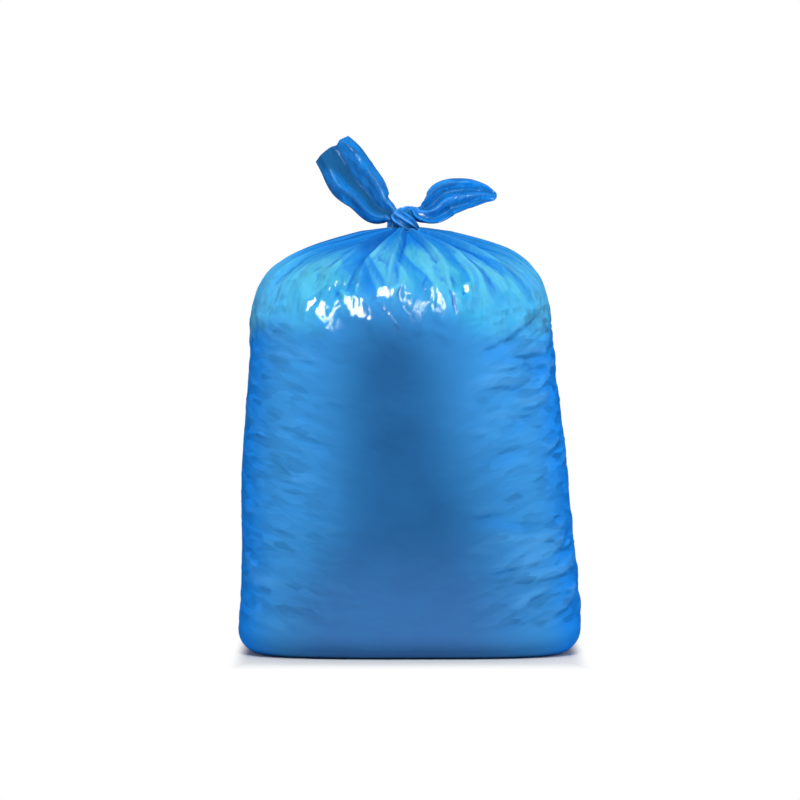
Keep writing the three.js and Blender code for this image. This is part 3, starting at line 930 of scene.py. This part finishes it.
def make_strand(strand):
    """The settled film of a strand, and its marks"""
    stations = strand["stations"]
    way = np.linspace(0, 1, (len(stations) - 1) * ROWS_PER_STATION + 1)
    centre, face, section = (centripetal([s[k] for s in stations], way) for k in range(3))
    centre = centre + KNOT
    run = unit(np.gradient(centre, axis=0))
    across = unit(np.cross(face, run))
    out = np.cross(run, across)
    half = AROUND_STRAND // 2
    column = np.arange(AROUND_STRAND)
    on_face = column < half
    # Columns crowd towards the edges, where the film turns
    place = 1 - 2 * np.where(on_face, column, AROUND_STRAND - column) / half
    share = np.sin(place * math.pi / 2)[None]
    side = np.where(column % half == 0, 0, np.where(on_face, 1, -1))[None]
    turn = column[None] / AROUND_STRAND * 2 * math.pi
    t = way[:, None]

    opened = fade(*EAR_START, t)
    tied = 1 - EAR_FREEDOM * opened
    power = 2 + EAR_SQUARENESS * opened
    full = STRAND_EDGE + (1 - STRAND_EDGE) * np.sqrt(np.maximum(0, 1 - np.abs(share) ** power))
    packed = fade(*KNOT_END, t) * full
    width, thick, depth = (section[:, k:k + 1] for k in range(3))
    thick = thick * (1 - EAR_THINNING * opened)
    depth = depth * (1 - EAR_SMOOTHING * opened)
    lift = side * thick * full + depth * crease(share * strand["folds"] + strand["phase"])
    creases = sum(deep * facets(turn, EAR_LENGTH * t, count, tall) for count, tall, deep in EAR_CREASES)
    lift = lift + opened * full * creases
    height, count, drift, wobble = KNOT_FOLD
    lift = lift + packed * height * np.cos(count * math.pi * share + drift * t + np.sin(wobble * t))
    height, count, drift = KNOT_CREASE
    lift = lift + packed * height * crease(count * t + drift * share)
    notch = strand["notch"] * np.exp(-((share - NOTCH_PLACE) / NOTCH_HALF) ** 2)
    mouth = (MOUTH_BULGE * (1 - share ** 2) - notch) * fade(MOUTH_START, 1, t)
    base = (centre[:, None] + across[:, None] * (share * width)[..., None] + out[:, None] * lift[..., None]
            + run[:, None] * mouth[..., None])

    pleats = tied * sum(
        height * np.cos(2 * math.pi * (count * share + STRAND_PLEAT_SHIFT * side + drift * t))
        for count, height, drift in STRAND_PLEATS
    )
    levels = [(bend, around * tied, along, shown * pleats) for bend, around, along, shown in STRAND_LEVELS]
    room = STRAND_ROOM * (thick * full)
    film = settle(base, levels, -room, STRAND_PUFF + room, noise=STRAND_NOISE, free_end=True)

    edge = np.exp(-((1 - np.abs(share)) / EDGE_WIDTH) ** 2)
    past = share - strand["valley"]
    wide = VALLEY_WIDTH + VALLEY_FLARE * fade(*VALLEY_MOUTH, t)
    valley = fade(*VALLEY_EDGE, past) * fade(*VALLEY_FADE, past / wide)
    valley = valley * fade(*VALLEY_START, t)
    layer = np.maximum(EDGE_LAYER * edge, at_least(strand["layers"], valley))
    streaks = [scale * axis for scale, axis in zip(STRAND_STREAKS, (share, side, t))]
    marks = marks_of(
        film, streaks,
        fold=ridges(film, STRAND_FOLD_REACH),
        layer=layer,
        empty=-1,
        tight=packed,
        ear=1,
        packed=packed,
        gloss=dulled(layer) * (EAR_GLOSS + KNOT_GLOSS * packed),
    )
    return film, marks


def strand_piece(name, strand):
    """A strand's mesh, with a pocket at the open mouth"""
    film, marks = make_strand(strand)
    columns = film.shape[1]
    outer = film[-1:-MOUTH_ROWS - 1:-1]
    middle = (outer + np.roll(outer[:, ::-1], 1, 1)) / 2
    inner = middle + (1 - MOUTH_FILM) * (outer - middle)
    film = np.concatenate([film, inner])
    marks = {key: np.concatenate([value, value[-1:-MOUTH_ROWS - 1:-1]]) for key, value in marks.items()}
    index = np.arange(len(film) * columns).reshape(-1, columns)
    faces = [*quads(index), *fan(index[0], len(film) * columns, True), *zip_shut(index[-1])]
    return mesh_object(name, film, faces, marks)


def knot_core():
    """Film packed in the middle of the knot"""
    lift = np.linspace(-KNOT_CAP, KNOT_CAP, KNOT_ROWS + 1)[:, None] * math.pi / 2
    turn = np.arange(2 * KNOT_ROWS)[None] / KNOT_ROWS * math.pi
    axes = (np.cos(lift) * np.cos(turn), np.cos(lift) * np.sin(turn), np.sin(lift))
    film = KNOT + KNOT_CORE * np.stack(np.broadcast_arrays(*axes), 2)
    marks = marks_of(film, (0, 0, 0), fold=KNOT_SUNK, layer=1, empty=-1, ear=1, packed=1)
    index = np.arange(film.shape[0] * film.shape[1]).reshape(film.shape[:2])
    faces = [*quads(index), *fan(index[0], index.size, True), *fan(index[-1], index.size + 1, False)]
    return mesh_object("knot_core", film, faces, marks)


# Meshes


def quads(index):
    """Faces between the rows of a grid of vertex numbers that closes round its columns"""
    after = np.roll(index, -1, 1)
    return np.stack([index[:-1], after[:-1], after[1:], index[1:]], axis=2).reshape(-1, 4).tolist()


def fan(ring, middle, first):
    """Faces from a ring to its middle, at the first or the last end"""
    after = np.roll(ring, -1)
    pairs = zip(after, ring) if first else zip(ring, after)
    return [[middle, int(a), int(b)] for a, b in pairs]


def zip_shut(ring):
    """Faces that close a flat ring from each point to the one opposite"""
    n = len(ring)
    strips = [[ring[j], ring[j + 1], ring[n - j - 1], ring[(n - j) % n]] for j in range(n // 2)]
    return [[int(v) for v in dict.fromkeys(strip)] for strip in strips]


def add_object(name, data):
    made = bpy.data.objects.new(name, data)
    bpy.context.scene.collection.objects.link(made)
    return made


def mesh_object(name, film, faces, marks):
    """An object from a settled film, with the middles of its two ends and its marks as attributes"""
    points = np.concatenate([film.reshape(-1, 3), film[:1].mean(1), film[-1:].mean(1)])
    used = np.zeros(len(points), bool)
    used[[int(v) for face in faces for v in face]] = True
    number = np.cumsum(used) - 1
    mesh = bpy.data.meshes.new(name)
    vertices = ((points + CENTRING)[used] * MM).tolist()
    mesh.from_pydata(vertices, [], [[int(number[v]) for v in face] for face in faces])
    for key, value in marks.items():
        size = value.size // (value.shape[0] * value.shape[1])
        ends = [value[0, :1].reshape(1, size), value[-1, :1].reshape(1, size)]
        values = np.concatenate([value.reshape(-1, size), *ends])[used].astype(np.float32)
        kind, field = ("FLOAT", "value") if size == 1 else ("FLOAT_VECTOR", "vector")
        mesh.attributes.new(key, kind, "POINT").data.foreach_set(field, values.ravel())
    return add_object(name, mesh)


def join(whole, others):
    """Union of closed pieces into the first"""
    for other in others:
        step = whole.modifiers.new("join", "BOOLEAN")
        step.operation = "UNION"
        step.solver = "MANIFOLD"
        step.object = other
    bpy.context.view_layer.update()
    joined = bpy.data.meshes.new_from_object(whole.evaluated_get(bpy.context.evaluated_depsgraph_get()))
    whole.modifiers.clear()
    whole.data = joined
    for other in others:
        bpy.data.objects.remove(other)
    joined.name = whole.name
    joined.polygons.foreach_set("use_smooth", np.ones(len(joined.polygons), bool))
    joined.update()


# Materials


def connect(tree, made, inputs):
    """Set or link some of a node's inputs"""
    for key, value in inputs.items():
        if isinstance(value, bpy.types.NodeSocket):
            tree.links.new(value, made.inputs[key])
        else:
            made.inputs[key].default_value = value


def node(tree, kind, inputs=None, **settings):
    """A new node, with some of its inputs set or linked"""
    made = tree.nodes.new(kind)
    for key, value in settings.items():
        setattr(made, key, value)
    connect(tree, made, inputs or {})
    return made


def mix(tree, share, first, second):
    made = node(tree, "ShaderNodeMix", {0: share, 6: first, 7: second}, data_type="RGBA")
    return made.outputs[2]


def spread(tree, value, low, high, to_low=0.0, to_high=1.0):
    """A value's way from low to high, spread smoothly between two others"""
    inputs = {"Value": value, "From Min": low, "From Max": high, "To Min": to_low, "To Max": to_high}
    return node(tree, "ShaderNodeMapRange", inputs, interpolation_type="SMOOTHSTEP").outputs[0]


def compute(tree, operation, *values):
    return node(tree, "ShaderNodeMath", dict(enumerate(values)), operation=operation).outputs[0]


def times(tree, first, second):
    return compute(tree, "MULTIPLY", first, second)


def combine(tree, operation, *vectors):
    return node(tree, "ShaderNodeVectorMath", dict(enumerate(vectors)), operation=operation).outputs[0]


def attribute(tree, name):
    return node(tree, "ShaderNodeAttribute", attribute_name=name).outputs


def clouds(tree, place, scale, detail):
    inputs = {"Vector": place, "Scale": scale, "Detail": detail}
    return node(tree, "ShaderNodeTexNoise", inputs).outputs[0]


def cells(tree, place, counts):
    """A random colour for each cell of a pattern, with so many cells along each axis"""
    inputs = {"Vector": combine(tree, "MULTIPLY", place, counts), "Scale": 1}
    return node(tree, "ShaderNodeTexVoronoi", inputs).outputs["Color"]


def film_fields(tree):
    """What the film's looks follow: its marks, its place, and patterns finer than its mesh"""
    fields = {name: attribute(tree, name)["Fac"] for name in MARKS}
    place = node(tree, "ShaderNodeTexCoord").outputs["Object"]
    sweep = attribute(tree, "sweep")["Vector"]
    across, through, up = node(tree, "ShaderNodeSeparateXYZ", {0: place}).outputs
    aside = compute(tree, "ABSOLUTE", across)
    sagged = compute(tree, "MULTIPLY_ADD", aside, -SAG, up)
    draped = node(tree, "ShaderNodeCombineXYZ", {"X": across, "Y": through, "Z": sagged}).outputs[0]
    draped = combine(tree, "MULTIPLY", draped, CRINKLES)
    crinkled = {"Vector": draped, "Scale": 1, "Smoothness": CRINKLE_SMOOTHNESS}
    crinkled = node(tree, "ShaderNodeTexVoronoi", crinkled, feature="SMOOTH_F1")
    blotches = clouds(tree, place, *BLOTCHES)
    uneven = compute(tree, "MULTIPLY_ADD", blotches, EMPTY_BLOTCHES, fields["empty"])
    empty = spread(tree, uneven, *EMPTY_EDGE)
    bare = compute(tree, "MAXIMUM", compute(tree, "MAXIMUM", empty, fields["ear"]), fields["flat"])
    slacker = spread(tree, fields["tight"], 0, 1, 1, 0)
    fields.update({name: cells(tree, place, counts) for name, counts in PLACE_PATTERNS.items()})
    fields.update({name: cells(tree, sweep, counts) for name, counts in FOLD_PATTERNS.items()})
    fields.update(
        up=up,
        aside=aside,
        crinkles=clouds(tree, draped, 1, CRINKLE_DETAIL),
        crinkled=crinkled.outputs["Color"],
        streaks=clouds(tree, sweep, *STREAKS),
        blotches=blotches,
        empty=empty,
        bare=bare,
        loose=times(tree, bare, slacker),
        loose_ear=times(tree, fields["ear"], slacker),
    )
    return fields


def tinted(tree, colour, fields, tints):
    """A colour with tints laid over it"""
    for name, start, full, share, tint in tints:
        colour = mix(tree, spread(tree, fields[name], start, full, 0, share), colour, tint)
    return colour


def film_colour(tree, fields):
    packed = fields["packed"]
    # The core: partly the filling seen through the film, partly painted shade
    core = times(tree, fields["core"], spread(tree, fields["blotches"], *CORE_BLOTCHES))
    wall = mix(tree, core, WALL_BLUE, tinted(tree, LOW_BLUE, fields, CORE_TINTS))
    wall = tinted(tree, wall, fields, WALL_TINTS)
    dome = tinted(tree, DOME_BLUE, fields, DOME_TINTS)
    body = tinted(tree, mix(tree, fields["empty"], wall, dome), fields, BODY_TINTS)
    ears = tinted(tree, EAR_BLUE, fields, EAR_TINTS)
    # Painted shade in the hollows of the strands' folds and painted highlights on their crests
    for start, full, share, outside, tint in FOLD_SHADE_AND_HIGHLIGHT_TINTS:
        folded = spread(tree, fields["fold"], start, full, 0, share)
        ears = mix(tree, times(tree, folded, spread(tree, packed, 0, 1, outside, 1)), ears, tint)
    ears = tinted(tree, ears, fields, LAYER_TINTS)
    # Painted shade under the knot
    ears = mix(tree, times(tree, packed, spread(tree, fields["up"], *UNDERSIDE_SHADE)), ears, UNDER_KNOT_SHADE)
    return mix(tree, fields["ear"], body, ears)


def leaned(tree, fields, leans):
    """The film's normal, leaned by a random amount for each cell, as flat pieces of crumpled film are"""
    normal = node(tree, "ShaderNodeNewGeometry").outputs["Normal"]
    for pattern, name, least, most in leans:
        lean = combine(tree, "SUBTRACT", fields[pattern], (0.5, 0.5, 0.5))
        scaled = {0: lean, "Scale": spread(tree, fields[name], 0, 1, least, most)}
        lean = node(tree, "ShaderNodeVectorMath", scaled, operation="SCALE").outputs[0]
        normal = combine(tree, "NORMALIZE", combine(tree, "ADD", normal, lean))
    return normal


def film_material():
    material = bpy.data.materials.new("film")
    material.use_nodes = True
    tree = material.node_tree
    fields = film_fields(tree)
    bump = {
        "Height": fields["crinkles"],
        "Strength": spread(tree, fields["slack"], 0, 1, *CRINKLE_STRENGTH),
        "Distance": CRINKLE_HEIGHT,
        "Normal": leaned(tree, fields, FILM_LEANS),
    }
    facing = node(tree, "ShaderNodeLayerWeight", {"Blend": 0.5}).outputs["Facing"]
    gloss = times(tree, spread(tree, facing, *GLOSS_AT_SLANT), fields["gloss"])
    connect(tree, tree.nodes["Principled BSDF"], {
        "Base Color": film_colour(tree, fields),
        "Roughness": spread(tree, fields["bare"], 0, 1, *FILM_ROUGHNESS),
        "Normal": node(tree, "ShaderNodeBump", bump).outputs[0],
        "Specular IOR Level": 0,
        "Coat Weight": times(tree, fields["bare"], gloss),
        "Coat Roughness": COAT_ROUGHNESS,
        "Coat IOR": COAT_IOR,
        "Coat Normal": leaned(tree, fields, GLOSS_LEANS),
    })
    return material


def background_rays(tree):
    """1 for the rays that see the white background: from the camera, mirrored or passed through"""
    path = node(tree, "ShaderNodeLightPath").outputs
    seen = path["Is Camera Ray"]
    for kind in ("Is Glossy Ray", "Is Transmission Ray"):
        seen = node(tree, "ShaderNodeMath", {0: seen, 1: path[kind]}, use_clamp=True).outputs[0]
    return seen


def floor_material():
    """Grey that takes the shadow near the bag, and white for the camera further out"""
    material = bpy.data.materials.new("floor")
    material.use_nodes = True
    tree = material.node_tree
    shader = tree.nodes["Principled BSDF"]
    connect(tree, shader, {"Base Color": FLOOR_GREY, "Roughness": FLOOR_ROUGHNESS, "Specular IOR Level": 0})
    place = node(tree, "ShaderNodeTexCoord").outputs["Object"]
    axes = node(tree, "ShaderNodeSeparateXYZ", {0: place}).outputs
    aside = spread(tree, compute(tree, "ABSOLUTE", axes["X"]), *SHADOW_SIDE)
    ahead = spread(tree, compute(tree, "ABSOLUTE", axes["Y"]), *SHADOW_FRONT)
    shown = times(tree, compute(tree, "MAXIMUM", aside, ahead), background_rays(tree))
    glow = node(tree, "ShaderNodeEmission", {"Strength": 1.0})
    both = node(tree, "ShaderNodeMixShader", {0: shown, 1: shader.outputs[0], 2: glow.outputs[0]})
    tree.links.new(both.outputs[0], tree.nodes["Material Output"].inputs["Surface"])
    return material


# Bag

bag = body_piece()
strands = [strand_piece("right_strand", RIGHT_STRAND), strand_piece("left_strand", LEFT_STRAND)]
join(bag, [*strands, knot_core()])
bag.data.materials.clear()
bag.data.materials.append(film_material())
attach(bag, "root")
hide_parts("garbage_bag")

# Floor

corners = [(-1, -1), (1, -1), (1, 1), (-1, 1)]
floor_mesh = bpy.data.meshes.new("floor")
floor_mesh.from_pydata([(x * FLOOR_HALF, y * FLOOR_HALF, 0) for x, y in corners], [], [(0, 1, 2, 3)])
floor_mesh.materials.append(floor_material())
floor = add_object("floor", floor_mesh)

# Camera

camera_data = bpy.data.cameras.new("camera")
camera_data.lens = camera_data.sensor_width * CAMERA_AWAY / FRAME_WIDTH
camera = add_object("camera", camera_data)
camera.location = FRAME_MIDDLE + CAMERA_AWAY * Vector((0, -math.cos(CAMERA_TILT), math.sin(CAMERA_TILT)))
camera.rotation_euler = (math.pi / 2 - CAMERA_TILT, 0, 0)
bpy.context.scene.camera = camera

# Light

for name, place, size, power, lights, mirrored in LAMPS:
    lamp_data = bpy.data.lights.new(name, "AREA")
    lamp_data.energy = power
    lamp_data.size = size
    lamp = add_object(name, lamp_data)
    lamp.location = place
    lamp.rotation_euler = (lamp.location - LAMP_TARGET).to_track_quat("Z", "Y").to_euler()
    lamp.visible_diffuse = lights
    lamp.visible_glossy = mirrored

world = bpy.data.worlds.new("world")
world.use_nodes = True
tree = world.node_tree
light = spread(tree, background_rays(tree), 0, 1, WORLD_LIGHT, 1.0)
tree.links.new(light, tree.nodes["Background"].inputs["Strength"])
tree.nodes["Background"].inputs["Color"].default_value = (1, 1, 1, 1)
bpy.context.scene.world = world

bpy.context.scene.view_settings.view_transform = "Standard"
